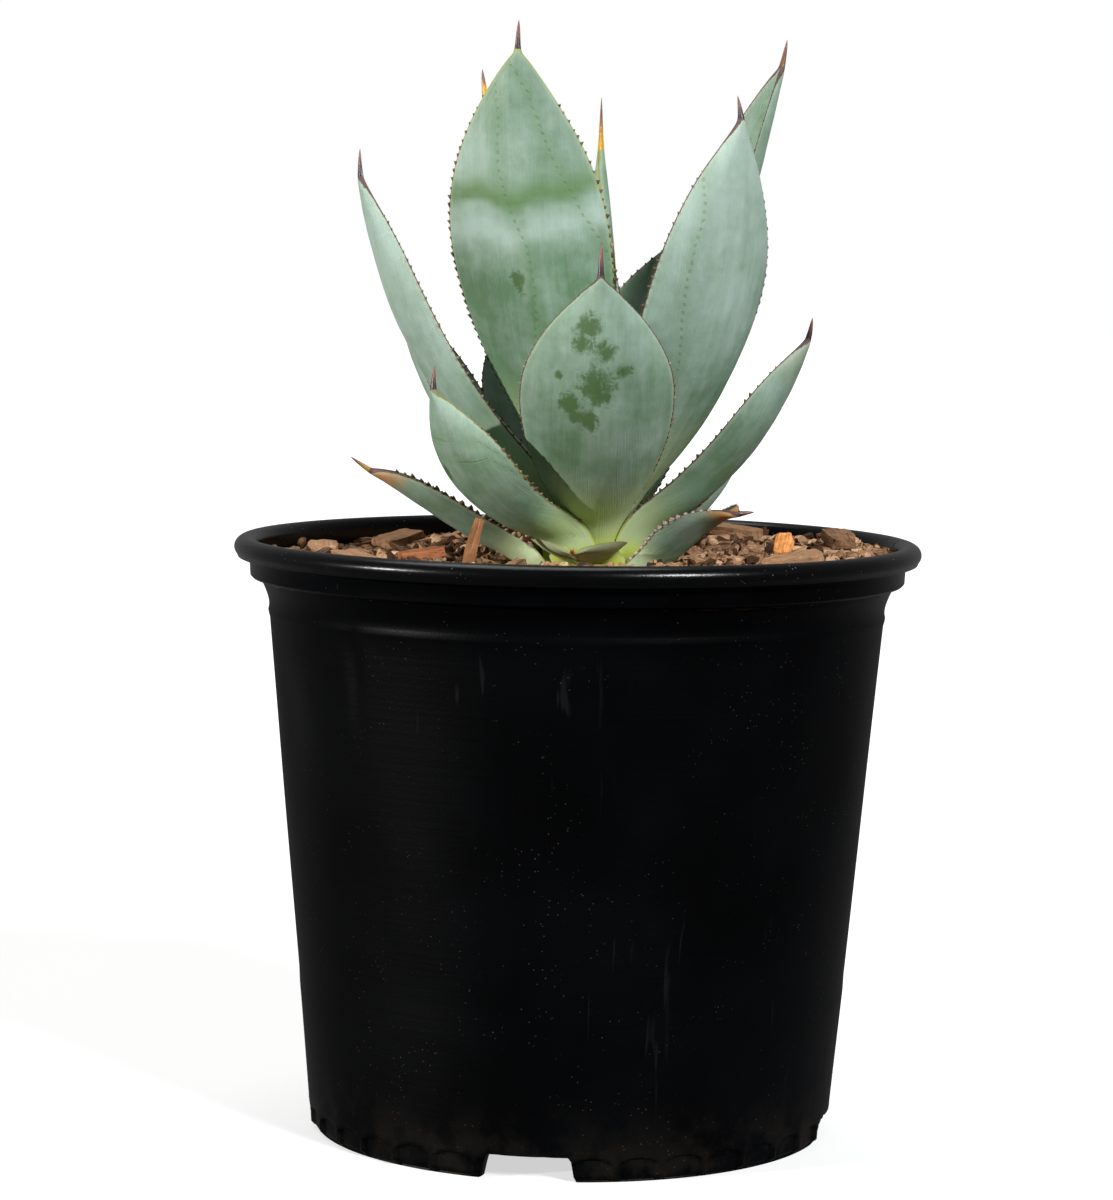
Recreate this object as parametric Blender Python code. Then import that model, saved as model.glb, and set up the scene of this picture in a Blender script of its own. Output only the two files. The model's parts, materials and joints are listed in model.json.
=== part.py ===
"""A young agave growing in a black nursery pot.

The pot stands on z = 0 with its axis on the Z axis. +Z is up and -Y is the front.
Every length below is in millimetres and every angle in degrees; MM turns lengths into metres.
"""

import math
import random
from collections import namedtuple

import bmesh
import bpy
from mathutils import Matrix, Vector

MM = 0.001

# ---- pot -------------------------------------------------------------------------------------
POT_HEIGHT = 241.0
RIM_RADIUS = 139.5          # outside of the rolled lip
LIP_WIDTH = 9.5             # the lip's thickness, in plan
LIP_HEIGHT = 8.5
FLANGE_INSET = 6.3          # from the lip in to the plain flange under it
FLANGE_DROP = 16.5          # from the rim down to the flange's lower edge
SHOULDER_TOP_INSET = 10.9   # from the lip in to the hollow shoulder, just under the flange
SHOULDER_INSET = 14.7       # from the lip in to its foot, where the straight wall begins
SHOULDER_DROP = 30.0
FOOT_RADIUS = 107.0         # the wall, just above the fluted foot
FOOT_HEIGHT = 13.0
FOOT_ROUND = 3.2            # how far the foot rounds in at the ground
WALL = 2.0
FLOOR_BOTTOM = 10.6         # the floor's underside, clear of the ground
FLOOR_THICKNESS = 2.2
FLUTES = 36
FLUTE_DEPTH = 1.2
NOTCHES = 4                 # drain notches in the foot
NOTCH_WIDTH = 36.0
NOTCH_HEIGHT = 10.2
NOTCH_AZIMUTH = -98.0       # the front notch
DRAIN_RADIUS = 8.0          # the holes in the floor, one behind each notch
DRAIN_INSET = 23.0          # from the foot in to a hole's middle

# ---- potting mix -----------------------------------------------------------------------------
MIX_DROP = 8.5              # from the rim down to the mix, on the pot's axis
MIX_SLOPE = 0.025           # it lies higher towards +X
MIX_ROUGHNESS = 1.6         # how far its lumps stand up and sink in
MIX_DISH = 5.0              # it dips this far round the plant
MIX_DISH_RADIUS = 90.0
MIX_SIDES = 48
MIX_RINGS = (0.0, 0.25, 0.5, 0.75, 1.0)     # from the pocket's edge to the pot's wall
FIT_GAP = 0.5               # potting mix to pot, and plant to potting mix

# ---- plant -----------------------------------------------------------------------------------
PLANT_X = 7.0               # the rosette's axis, from the pot's
PLANT_Y = 0.0
CROWN_DROP = 17.0           # from the rim down to where the outermost leaf joins the stem
BASE_THICKNESS = 3.0        # a leaf's, where it joins
BASE_GAP = 0.75             # between leaves three places apart in the spiral, which overlap
BASE_RISE = 0.9             # each younger leaf sits this much higher
CORE_GAP = 1.05             # between the bud and the innermost place for a leaf
TOUCH_GAP = 0.4             # between the stem and the leaves on it
STEM_NECK = 24.0            # the root crown's radius
STEM_DEPTH = 20.0           # how far the stem goes below the outermost leaf
BUD_LENGTH = 180.0          # furled centre leaves, spine included
BUD_BASE_RADIUS = 4.2
BUD_RADIUS = 9.4
BUD_SPINE = 24.0
LAST_ORDER = 19             # the bud's own place in the spiral

# ---- leaf ------------------------------------------------------------------------------------
LEAF_RINGS = 14             # cross-sections from the base to the spine's root
BASE_HOLD = 0.05            # the base keeps its full width up to here, as a share of the length
NECK_AT = 0.24              # the narrow neck above the clasping base
NECK_SHARE = 0.66           # its width, as a share of the widest
WIDEST_AT = 0.64
SPINE_RADIUS = 1.1
RISE = 9.0                  # a leaf turns out of its base over this length
RISE_SHARE = 0.14           # and this share of its own
ACROSS = (-1.0, -0.68, -0.34, 0.0, 0.34, 0.68, 1.0)

Leaf = namedtuple(
    "Leaf",
    "name order azimuth length half_width thickness lean_out lean_tip clasp cup twist sweep spine",
)

# Oldest first. order is the leaf's place in the spiral, and a higher one sits further in.
LEAVES = (
    Leaf("low_left_leaf", 0, 188, 92, 20, 6.0, 65, 59, 46, 34, 0, 0, 12),
    Leaf("low_right_leaf", 1, -31, 63, 19, 7.0, 44, 92, 40, 22, 3, -6, 9),
    Leaf("low_back_leaf", 2, 105, 92, 20, 6.0, 64, 44, 46, 26, 0, 0, 11),
    Leaf("low_front_leaf", 3, -98, 50, 20, 5.0, 76, 92, 44, 20, 0, 0, 5),
    Leaf("back_right_low_leaf", 4, 26, 78, 20, 6.0, 58, 30, 46, 28, 0, 0, 10),
    Leaf("left_outer_leaf", 5, 151, 144, 23, 6.0, 51, 16, 26, 34, -3, 8, 13),
    Leaf("back_lower_leaf", 7, 74, 106, 24, 6.0, 52, 16, 46, 28, 0, 0, 11),
    Leaf("front_left_leaf", 8, 217, 110, 28, 7.0, 82, -8, 58, 34, 0, -6, 12),
    Leaf("right_lower_leaf", 9, -13, 128, 25, 7.0, 63, 11, 54, 40, 3, -4, 11),
    Leaf("back_left_leaf", 10, 123, 124, 25, 7.0, 42, 6, 46, 16, -12, 0, 12),
    Leaf("front_leaf", 11, -91, 152, 32, 8.0, 61, -6, 42, 22, 0, 4, 16),
    Leaf("back_right_leaf", 12, 58, 158, 34, 8.0, 34, 20, 46, 26, 0, 0, 13),
    Leaf("left_tall_leaf", 13, 181, 190, 29, 8.0, 54, 2, 42, 40, 14, -10, 15),
    Leaf("right_tall_leaf", 14, -46, 201, 36, 8.0, 48, -12, 46, 26, 0, 4, 12),
    Leaf("back_tall_leaf", 15, 110, 176, 26, 8.0, 30, 0, 46, 24, 0, 0, 14),
    Leaf("front_tall_leaf", 16, -124, 219, 34, 8.0, 32, -5, 46, 20, 30, 4, 14),
    Leaf("right_inner_leaf", 17, 18, 220, 30, 7.5, 28, 13, 46, 36, 0, 0, 14),
    Leaf("left_inner_leaf", 18, 146, 200, 25, 7.0, 22, 11, 46, 34, 0, 0, 14),
)

# ---- bark on top -----------------------------------------------------------------------------
# share is how far out a chip lies, from CHIP_REACH to the pot's wall.
Chip = namedtuple("Chip", "name kind azimuth share length width thickness turn tilt")
CHIPS = (
    Chip("upright_stick", "stick", -123.5, 0.381, 22, 4.5, 4.0, 20, 74),
    Chip("red_chip", "bark", -160.5, 0.287, 20, 11, 4.5, 15, 8),
    Chip("orange_chip", "bark", 4.1, 0.491, 17, 8, 4.0, 80, 24),
    Chip("front_left_chip", "bark", -150.8, 0.650, 24, 12, 5.0, 130, 6),
    Chip("front_right_chip", "bark", -38.2, 0.743, 26, 12, 5.0, 40, 6),
    Chip("right_chip", "bark", 11.5, 0.780, 22, 12, 5.5, 100, 8),
    Chip("back_right_chip", "bark", 49.8, 0.691, 27, 13, 5.0, 150, 5),
    Chip("back_chip", "bark", 94.7, 0.648, 24, 14, 5.5, 10, 6),
    Chip("back_left_chip", "bark", 139.0, 0.674, 28, 12, 5.0, 60, 7),
    Chip("left_chip", "bark", 175.6, 0.715, 22, 13, 5.0, 95, 7),
)
CHIP_GAP = 0.5
CHIP_REACH = 40.0           # chips keep this far from the pot's axis, at the least

# ---- what follows from the sizes above -------------------------------------------------------
FLANGE_RADIUS = RIM_RADIUS - FLANGE_INSET
FLANGE_BOTTOM = POT_HEIGHT - FLANGE_DROP
SHOULDER_TOP_RADIUS = RIM_RADIUS - SHOULDER_TOP_INSET
SHOULDER_RADIUS = RIM_RADIUS - SHOULDER_INSET
SHOULDER_BOTTOM = POT_HEIGHT - SHOULDER_DROP
INNER_RADIUS = RIM_RADIUS - LIP_WIDTH
MIX_LEVEL = POT_HEIGHT - MIX_DROP
BASE_LEVEL = POT_HEIGHT - CROWN_DROP
BASE_STEP = (BASE_THICKNESS + BASE_GAP) / 3
BASE_RADIUS = BUD_BASE_RADIUS + CORE_GAP + BASE_STEP * LAST_ORDER


def clear_scene():
    for obj in list(bpy.data.objects):
        bpy.data.objects.remove(obj, do_unlink=True)


def principled(name, colour, roughness, metallic=0.0):
    material = bpy.data.materials.new(name)
    material.use_nodes = True
    shader = material.node_tree.nodes["Principled BSDF"]
    shader.inputs["Base Color"].default_value = (*colour, 1.0)
    shader.inputs["Roughness"].default_value = roughness
    shader.inputs["Metallic"].default_value = metallic
    return material


def add_object(name, bm, material, smooth_angle=40.0):
    """Turns a bmesh in millimetres into a scene object in metres."""
    bmesh.ops.scale(bm, vec=(MM, MM, MM), verts=bm.verts)
    bmesh.ops.recalc_face_normals(bm, faces=bm.faces)
    mesh = bpy.data.meshes.new(name)
    bm.to_mesh(mesh)
    bm.free()
    mesh.materials.append(material)
    mesh.shade_smooth()
    mesh.set_sharp_from_angle(angle=math.radians(smooth_angle))
    obj = bpy.data.objects.new(name, mesh)
    bpy.context.collection.objects.link(obj)
    return obj


def smoothstep(value):
    value = min(max(value, 0.0), 1.0)
    return value * value * (3.0 - 2.0 * value)


def blend(low, high, share):
    return low + (high - low) * share


def join_loops(bm, loops):
    """Skins a row of equal loops with quads."""
    count = len(loops[0])
    for low, high in zip(loops, loops[1:]):
        for i in range(count):
            j = (i + 1) % count
            bm.faces.new((low[i], low[j], high[j], high[i]))


# ---- pot -------------------------------------------------------------------------------------
def wall_radius(z):
    """The outside of the plain wall between the foot and the shoulder."""
    share = (z - FOOT_HEIGHT) / (SHOULDER_BOTTOM - FOOT_HEIGHT)
    return blend(FOOT_RADIUS, SHOULDER_RADIUS, share)


def shoulder_points(inset, steps=3):
    """The hollow curve from under the flange down to the wall, set in by the wall's thickness."""
    top = SHOULDER_TOP_RADIUS - inset
    bottom = SHOULDER_RADIUS - inset
    points = []
    for i in range(steps + 1):
        share = i / steps
        radius = blend(top, bottom, math.sin(share * math.pi / 2))
        points.append((radius, blend(FLANGE_BOTTOM - 3.0, SHOULDER_BOTTOM, share)))
    return points


def pot_profile():
    """The wall's closed section: over the lip, down the outside, under the floor and up the inside."""
    lip_centre = RIM_RADIUS - LIP_WIDTH / 2
    lip = []
    for i in range(6):
        angle = math.radians(180.0 - 36.0 * i)
        lip.append((
            lip_centre + LIP_WIDTH / 2 * math.cos(angle),
            POT_HEIGHT - LIP_HEIGHT / 2 + LIP_HEIGHT / 2 * math.sin(angle),
        ))
    lip_bottom = POT_HEIGHT - LIP_HEIGHT
    outside = [
        (RIM_RADIUS - 2.0, lip_bottom + 0.8),
        (FLANGE_RADIUS + 1.6, lip_bottom),
        (FLANGE_RADIUS, lip_bottom - 1.2),
        (FLANGE_RADIUS - 0.4, FLANGE_BOTTOM),
    ]
    outside += shoulder_points(0.0)
    outside += [
        (FOOT_RADIUS, FOOT_HEIGHT),
        (FOOT_RADIUS - 0.3, FLOOR_BOTTOM - 2.0),
        (FOOT_RADIUS - 0.8, FOOT_ROUND),
        (FOOT_RADIUS - FOOT_ROUND, 0.0),
    ]
    skirt = FOOT_RADIUS - FOOT_ROUND - WALL - 1.4
    inside = [
        (skirt, 0.0),
        (skirt, FLOOR_BOTTOM),
        (0.0, FLOOR_BOTTOM),
        (0.0, FLOOR_BOTTOM + FLOOR_THICKNESS),
        (wall_radius(FLOOR_BOTTOM + FLOOR_THICKNESS) - WALL - 2.0, FLOOR_BOTTOM + FLOOR_THICKNESS),
        (wall_radius(FLOOR_BOTTOM + 5.0) - WALL, FLOOR_BOTTOM + 5.0),
    ]
    inside += list(reversed(shoulder_points(WALL)))
    inside += [(INNER_RADIUS, FLANGE_BOTTOM)]
    return lip + outside + inside


def turn_profile(profile, sides, closed=True):
    """Spins a section of (radius, z) points round the Z axis."""
    bm = bmesh.new()
    verts = [bm.verts.new((radius, 0.0, z)) for radius, z in profile]
    edges = [bm.edges.new(pair) for pair in zip(verts, verts[1:])]
    if closed:
        edges.append(bm.edges.new((verts[-1], verts[0])))
    bmesh.ops.spin(
        bm,
        geom=verts + edges,
        cent=(0, 0, 0),
        axis=(0, 0, 1),
        angle=2 * math.pi,
        steps=sides,
        use_merge=True,
    )
    bmesh.ops.remove_doubles(bm, verts=bm.verts, dist=0.001)
    return bm


def press_flutes(bm):
    """Pushes every other line of the foot's wall inwards, which leaves one rib to each flute."""
    sides = 2 * FLUTES
    for vert in bm.verts:
        radius = math.hypot(vert.co.x, vert.co.y)
        if radius < FOOT_RADIUS - 1.0 or not 1.0 < vert.co.z < FLOOR_BOTTOM:
            continue
        line = round(math.degrees(math.atan2(vert.co.y, vert.co.x)) * sides / 360)
        if line % 2:
            shrink = (radius - FLUTE_DEPTH) / radius
            vert.co.x *= shrink
            vert.co.y *= shrink


def drain_cutter():
    """The notches in the foot and the holes in the floor, as one cutter."""
    bm = bmesh.new()
    for i in range(NOTCHES):
        turn = Matrix.Rotation(math.radians(NOTCH_AZIMUTH + 360.0 * i / NOTCHES), 4, "Z")
        reach = 2 * (WALL + FOOT_ROUND + 6.0)
        notch = Matrix.Translation((FOOT_RADIUS - FOOT_ROUND, 0, NOTCH_HEIGHT / 2 - 2.0))
        size = Matrix.Diagonal((reach, NOTCH_WIDTH, NOTCH_HEIGHT + 4.0, 1.0))
        bmesh.ops.create_cube(bm, size=1.0, matrix=turn @ notch @ size)
        hole = Matrix.Translation((FOOT_RADIUS - DRAIN_INSET, 0, FLOOR_BOTTOM + FLOOR_THICKNESS / 2))
        bmesh.ops.create_cone(
            bm,
            cap_ends=True,
            segments=16,
            radius1=DRAIN_RADIUS,
            radius2=DRAIN_RADIUS,
            depth=FLOOR_THICKNESS + 2.0,
            matrix=turn @ hole,
        )
    cutter = add_object("drain_cutter", bm, principled("cutter", (1, 0, 0), 0.5))
    cutter.hide_render = True
    cutter.display_type = "WIRE"
    return cutter


def make_pot():
    bm = turn_profile(pot_profile(), 2 * FLUTES)
    press_flutes(bm)
    pot = add_object("nursery_pot", bm, principled("black_plastic", (0.012, 0.013, 0.016), 0.42))
    drains = pot.modifiers.new("drains", "BOOLEAN")
    drains.operation = "DIFFERENCE"
    drains.solver = "EXACT"
    drains.object = drain_cutter()
    return pot


# ---- potting mix -----------------------------------------------------------------------------
def mix_level(x, y):
    """The height of the potting mix: a gentle slope with soft lumps."""
    lumps = math.sin(x * 0.11 + 1.3) * math.cos(y * 0.13 - 0.4) + math.sin((x + y) * 0.06)
    from_plant = math.hypot(x - PLANT_X, y - PLANT_Y)
    dish = MIX_DISH * (1.0 - smoothstep(from_plant / MIX_DISH_RADIUS))
    return MIX_LEVEL - dish + MIX_SLOPE * x + MIX_ROUGHNESS * 0.5 * lumps


def pocket_radius():
    return BASE_RADIUS + BASE_THICKNESS + 1.2 + FIT_GAP


def pocket_floor():
    return BASE_LEVEL - STEM_DEPTH - FIT_GAP


def mix_rings():
    """The potting mix's outline, one ring of points at a time, from the pocket's floor to its own."""
    angles = [2 * math.pi * i / MIX_SIDES for i in range(MIX_SIDES)]
    around = [Vector((math.cos(angle), math.sin(angle), 0.0)) for angle in angles]
    axis = Vector((PLANT_X, PLANT_Y, 0.0))
    pocket = [axis + along * pocket_radius() for along in around]
    edge = [along * (INNER_RADIUS - FIT_GAP) for along in around]
    rings = [[Vector((point.x, point.y, pocket_floor())) for point in pocket]]
    for share in MIX_RINGS:
        ring = []
        for inner, outer in zip(pocket, edge):
            point = inner.lerp(outer, share)
            ring.append(Vector((point.x, point.y, mix_level(point.x, point.y))))
        rings.append(ring)
    side = [(INNER_RADIUS - FIT_GAP, FLANGE_BOTTOM)]
    side += shoulder_points(WALL + FIT_GAP)
    side += [(wall_radius(FLOOR_BOTTOM + 5.0) - WALL - FIT_GAP, FLOOR_BOTTOM + 5.0)]
    floor_level = FLOOR_BOTTOM + FLOOR_THICKNESS
    side += [(wall_radius(floor_level) - WALL - 2.0 - FIT_GAP, floor_level + FIT_GAP)]
    for radius, level in side:
        rings.append([along * radius + Vector((0.0, 0.0, level)) for along in around])
    return rings


def make_potting_mix():
    """Fills the pot to just under its lip, round a pocket for the plant."""
    bm = bmesh.new()
    loops = [[bm.verts.new(point) for point in ring] for ring in mix_rings()]
    join_loops(bm, loops)
    bm.faces.new(reversed(loops[0]))
    bm.faces.new(loops[-1])
    return add_object("potting_mix", bm, principled("bark_mix", (0.16, 0.09, 0.055), 0.95))


# ---- plant -----------------------------------------------------------------------------------
def base_radius(order):
    return BASE_RADIUS - BASE_STEP * order


def base_level(order):
    return BASE_LEVEL + BASE_RISE * order


def make_stem():
    """The short stem: a cone that carries the leaves, on a root crown in the potting mix."""
    slope = BASE_RISE / BASE_STEP
    top_radius = base_radius(LAST_ORDER) - BUD_BASE_RADIUS
    top_level = base_level(LAST_ORDER) - TOUCH_GAP
    brim_radius = BASE_RADIUS + BASE_THICKNESS
    brim_level = BASE_LEVEL - TOUCH_GAP - slope * BASE_THICKNESS
    profile = [
        (0.0, top_level),
        (top_radius, top_level),
        (brim_radius, brim_level),
        (brim_radius - 0.6, brim_level - 4.0),
        (STEM_NECK, BASE_LEVEL - STEM_DEPTH * 0.7),
        (STEM_NECK * 0.55, BASE_LEVEL - STEM_DEPTH),
        (0.0, BASE_LEVEL - STEM_DEPTH),
    ]
    bm = turn_profile(profile, 28, closed=False)
    bmesh.ops.translate(bm, vec=(PLANT_X, PLANT_Y, 0), verts=bm.verts)
    return add_object("stem", bm, principled("stem_green", (0.38, 0.42, 0.16), 0.7))


def leaf_half_width(leaf, share):
    """Half the blade's width, measured over its curve."""
    neck = NECK_SHARE * leaf.half_width
    if share < NECK_AT:
        base = math.radians(leaf.clasp) * base_radius(leaf.order)
        return blend(base, neck, smoothstep((share - BASE_HOLD) / (NECK_AT - BASE_HOLD)))
    if share < WIDEST_AT:
        climb = (share - NECK_AT) / (WIDEST_AT - NECK_AT)
        return blend(neck, leaf.half_width, math.sin(climb * math.pi / 2))
    fall = (share - WIDEST_AT) / (1.0 - WIDEST_AT)
    return blend(leaf.half_width, SPINE_RADIUS, fall * fall)


def leaf_wrap(leaf, share):
    """Half the angle that the blade's curve spans: it clasps at the base and opens above."""
    opened = blend(leaf.clasp, leaf.cup, smoothstep(share / 0.36))
    return math.radians(opened + 12.0 * smoothstep((share - 0.6) / 0.4))


def leaf_thickness(leaf, share):
    swelling = blend(BASE_THICKNESS, leaf.thickness, smoothstep(share / 0.3))
    return blend(swelling, 2 * SPINE_RADIUS, smoothstep((share - 0.3) / 0.7))


def leaf_spine_curve(leaf, steps=120):
    """Points and frames along the leaf: (place, tangent, across, inward normal) at equal steps."""
    radius = base_radius(leaf.order)
    azimuth = math.radians(leaf.azimuth)
    place = Vector((
        PLANT_X + radius * math.cos(azimuth),
        PLANT_Y + radius * math.sin(azimuth),
        base_level(leaf.order),
    ))
    rise = RISE / leaf.length + RISE_SHARE
    curve = []
    for i in range(steps + 1):
        share = i / steps
        out = smoothstep(share / rise)
        lean = math.radians(out * blend(leaf.lean_out, leaf.lean_tip, share ** 1.4))
        heading = azimuth + math.radians(leaf.sweep) * share
        tangent = Vector((
            math.sin(lean) * math.cos(heading),
            math.sin(lean) * math.sin(heading),
            math.cos(lean),
        ))
        across = Vector((-math.sin(heading), math.cos(heading), 0.0))
        across.rotate(Matrix.Rotation(math.radians(leaf.twist) * smoothstep(share), 3, tangent))
        curve.append((place.copy(), tangent, across, tangent.cross(across)))
        place += tangent * (leaf.length / steps)
    return curve


def leaf_ring(leaf, frame, half_width, wrap, thickness):
    """One cross-section: the hollow inner face from edge to edge, then the full outer face back."""
    place, tangent, across, inward = frame
    bend = half_width / wrap
    inner = []
    outer = []
    for u in ACROSS:
        angle = wrap * u
        point = place + across * (bend * math.sin(angle)) + inward * (bend * (1 - math.cos(angle)))
        inner.append(point)
        outward = across * math.sin(angle) - inward * math.cos(angle)
        outer.append(point + outward * (thickness * (1 - u * u) ** 0.7))
    return inner + list(reversed(outer[1:-1]))


def make_leaf(leaf, material):
    """A clasping base, a cupped blade and the terminal spine, grown as one piece."""
    curve = leaf_spine_curve(leaf)
    blade_end = 1.0 - leaf.spine / leaf.length
    rings = []
    for i in range(LEAF_RINGS):
        share = 0.5 - 0.5 * math.cos(math.pi * i / (LEAF_RINGS - 1))
        frame = curve[round(share * blade_end * (len(curve) - 1))]
        rings.append(leaf_ring(
            leaf,
            frame,
            leaf_half_width(leaf, share),
            leaf_wrap(leaf, share),
            leaf_thickness(leaf, share),
        ))
    middle = curve[round((1.0 + blade_end) / 2 * (len(curve) - 1))]
    rings.append(leaf_ring(leaf, middle, SPINE_RADIUS * 0.6, 1.2, SPINE_RADIUS * 1.2))
    bm = bmesh.new()
    loops = [[bm.verts.new(point) for point in ring] for ring in rings]
    join_loops(bm, loops)
    bm.faces.new(reversed(loops[0]))
    count = len(loops[0])
    tip = bm.verts.new(curve[-1][0])
    for i in range(count):
        bm.faces.new((loops[-1][i], loops[-1][(i + 1) % count], tip))
    return add_object(leaf.name, bm, material)


def make_bud(material):
    """The furled centre leaves: a slim spindle that ends in a spine."""
    level = base_level(LAST_ORDER)
    body = BUD_LENGTH - BUD_SPINE
    profile = [(0.0, level)]
    for i in range(10):
        share = i / 9
        if share < 0.3:
            radius = blend(BUD_BASE_RADIUS, BUD_RADIUS, smoothstep(share / 0.3))
        else:
            radius = blend(BUD_RADIUS, SPINE_RADIUS, ((share - 0.3) / 0.7) ** 1.8)
        profile.append((radius, level + body * share))
    profile.append((SPINE_RADIUS * 0.5, level + body + BUD_SPINE * 0.6))
    profile.append((0.0, level + BUD_LENGTH))
    bm = turn_profile(list(reversed(profile)), 14, closed=False)
    bmesh.ops.translate(bm, vec=(PLANT_X, PLANT_Y, 0), verts=bm.verts)
    return add_object("centre_bud", bm, material)


# ---- bark ------------------------------------------------------------------------------------
def chip_shape(chip, seed):
    """A split flake of bark or a broken stick, about its own middle."""
    rng = random.Random(seed)
    bm = bmesh.new()
    bmesh.ops.create_cube(bm, size=1.0)
    if chip.kind == "bark":
        long_edges = [e for e in bm.edges if abs((e.verts[0].co - e.verts[1].co).x) > 0.5]
        bmesh.ops.subdivide_edges(bm, edges=long_edges, cuts=1)
    for vert in bm.verts:
        taper = 1.0 - 0.7 * rng.random() * abs(vert.co.x)
        vert.co.x *= chip.length * (0.86 + 0.14 * rng.random())
        vert.co.y *= chip.width * taper
        vert.co.z *= chip.thickness * (0.75 + 0.25 * rng.random())
    turn = Matrix.Rotation(math.radians(chip.turn), 4, "Z")
    tilt = Matrix.Rotation(math.radians(-chip.tilt), 4, "Y")
    bmesh.ops.transform(bm, matrix=turn @ tilt, verts=bm.verts)
    return bm


def mix_height(mix, x, y):
    """The potting mix's own surface under a point, in millimetres."""
    hit, place, _, _ = mix.ray_cast(Vector((x, y, 2 * POT_HEIGHT)) * MM, Vector((0, 0, -1)))
    return place.z / MM if hit else MIX_LEVEL


def make_chip(chip, seed, mix, material):
    """Lets a chip down until it all but touches the potting mix."""
    bm = chip_shape(chip, seed)
    radius = blend(CHIP_REACH, INNER_RADIUS, chip.share)
    x = radius * math.cos(math.radians(chip.azimuth))
    y = radius * math.sin(math.radians(chip.azimuth))
    drops = []
    for vert in bm.verts:
        for share in (0.0, 0.25, 0.5, 0.75, 1.0):
            point = vert.co * share
            drops.append(mix_height(mix, x + point.x, y + point.y) - point.z)
    bmesh.ops.translate(bm, vec=(x, y, max(drops) + CHIP_GAP), verts=bm.verts)
    return add_object(chip.name, bm, material, smooth_angle=25.0)


def main():
    clear_scene()
    make_pot()
    mix = make_potting_mix()
    bpy.context.view_layer.update()
    make_stem()
    leaf_material = principled("leaf_green", (0.33, 0.46, 0.36), 0.55)
    for leaf in LEAVES:
        make_leaf(leaf, leaf_material)
    make_bud(principled("bud_green", (0.28, 0.42, 0.26), 0.5))
    bark = principled("bark_brown", (0.2, 0.11, 0.06), 0.9)
    for seed, chip in enumerate(CHIPS):
        make_chip(chip, seed, mix, bark)


main()
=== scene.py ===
import json
import math
import random

import bmesh
import bpy
import numpy as np
from mathutils import Matrix, Vector, noise
from mathutils.bvhtree import BVHTree


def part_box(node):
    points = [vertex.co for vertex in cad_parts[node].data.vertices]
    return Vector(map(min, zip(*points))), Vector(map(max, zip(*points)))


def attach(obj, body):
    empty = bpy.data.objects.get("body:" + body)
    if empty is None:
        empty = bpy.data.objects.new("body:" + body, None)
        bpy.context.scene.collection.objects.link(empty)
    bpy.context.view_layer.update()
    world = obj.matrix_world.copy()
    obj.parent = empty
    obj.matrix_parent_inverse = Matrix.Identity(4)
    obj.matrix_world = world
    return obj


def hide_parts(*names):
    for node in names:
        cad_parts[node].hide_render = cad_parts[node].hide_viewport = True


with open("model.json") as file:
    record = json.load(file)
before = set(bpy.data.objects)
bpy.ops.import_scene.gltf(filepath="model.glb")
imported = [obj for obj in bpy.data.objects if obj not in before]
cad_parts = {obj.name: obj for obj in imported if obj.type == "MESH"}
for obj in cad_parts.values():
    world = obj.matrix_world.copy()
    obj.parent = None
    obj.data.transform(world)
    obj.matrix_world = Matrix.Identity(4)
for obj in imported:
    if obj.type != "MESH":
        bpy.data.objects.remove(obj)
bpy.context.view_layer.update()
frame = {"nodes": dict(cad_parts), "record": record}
mm = 0.001
print("frame loaded:", len(frame["nodes"]), "nodes")


def pick(obj):
    # makes obj the only selected object and the active one
    if bpy.context.mode != "OBJECT":
        bpy.ops.object.mode_set(mode="OBJECT")
    bpy.ops.object.select_all(action="DESELECT")
    obj.select_set(True)
    bpy.context.view_layer.objects.active = obj
    return obj


class EditMode:
    # what is inside runs in edit mode, with the whole mesh selected
    def __enter__(self):
        bpy.ops.object.mode_set(mode="EDIT")
        bpy.ops.mesh.select_all(action="SELECT")

    def __exit__(self, *problem):
        bpy.ops.object.mode_set(mode="OBJECT")


def newMeshObject(name, verts, faces, edges=()):
    mesh = bpy.data.meshes.new(name)
    mesh.from_pydata([tuple(v) for v in verts], list(edges), [tuple(f) for f in faces])
    mesh.update()
    obj = bpy.data.objects.new(name, mesh)
    bpy.context.scene.collection.objects.link(obj)
    return pick(obj)


def copyNode(node, name):
    # a copy of a CAD node, with its loose triangles merged
    obj = bpy.data.objects.new(name, frame["nodes"][node].data.copy())
    bpy.context.scene.collection.objects.link(obj)
    obj.data.materials.clear()
    pick(obj)
    with EditMode():
        bpy.ops.mesh.remove_doubles(threshold=1e-6)
        bpy.ops.mesh.customdata_custom_splitnormals_clear()
    return obj


def applyModifier(obj, kind, **settings):
    pick(obj)
    modifier = obj.modifiers.new(kind.lower(), kind)
    for key, value in settings.items():
        setattr(modifier, key, value)
    bpy.ops.object.modifier_apply(modifier=modifier.name)


def subdivided(obj, levels):
    applyModifier(obj, "SUBSURF", levels=levels, render_levels=levels)


def points(obj):
    co = np.empty(len(obj.data.vertices) * 3)
    obj.data.vertices.foreach_get("co", co)
    return co.reshape(-1, 3)


def movePoints(obj, co):
    obj.data.vertices.foreach_set("co", np.ascontiguousarray(co, dtype=np.float32).ravel())
    obj.data.update()


def normals(obj):
    out = np.empty(len(obj.data.vertices) * 3)
    obj.data.vertices.foreach_get("normal", out)
    return out.reshape(-1, 3)


def setAttribute(obj, name, values):
    # one number or one vector for each point
    values = np.ascontiguousarray(values, dtype=np.float32)
    kind, field = ("FLOAT", "value") if values.ndim == 1 else ("FLOAT_VECTOR", "vector")
    layer = obj.data.attributes.get(name) or obj.data.attributes.new(name, kind, "POINT")
    layer.data.foreach_set(field, values.ravel())


def getAttribute(obj, name):
    values = np.empty(len(obj.data.vertices), dtype=np.float32)
    obj.data.attributes[name].data.foreach_get("value", values)
    return values.astype(float)


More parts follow.
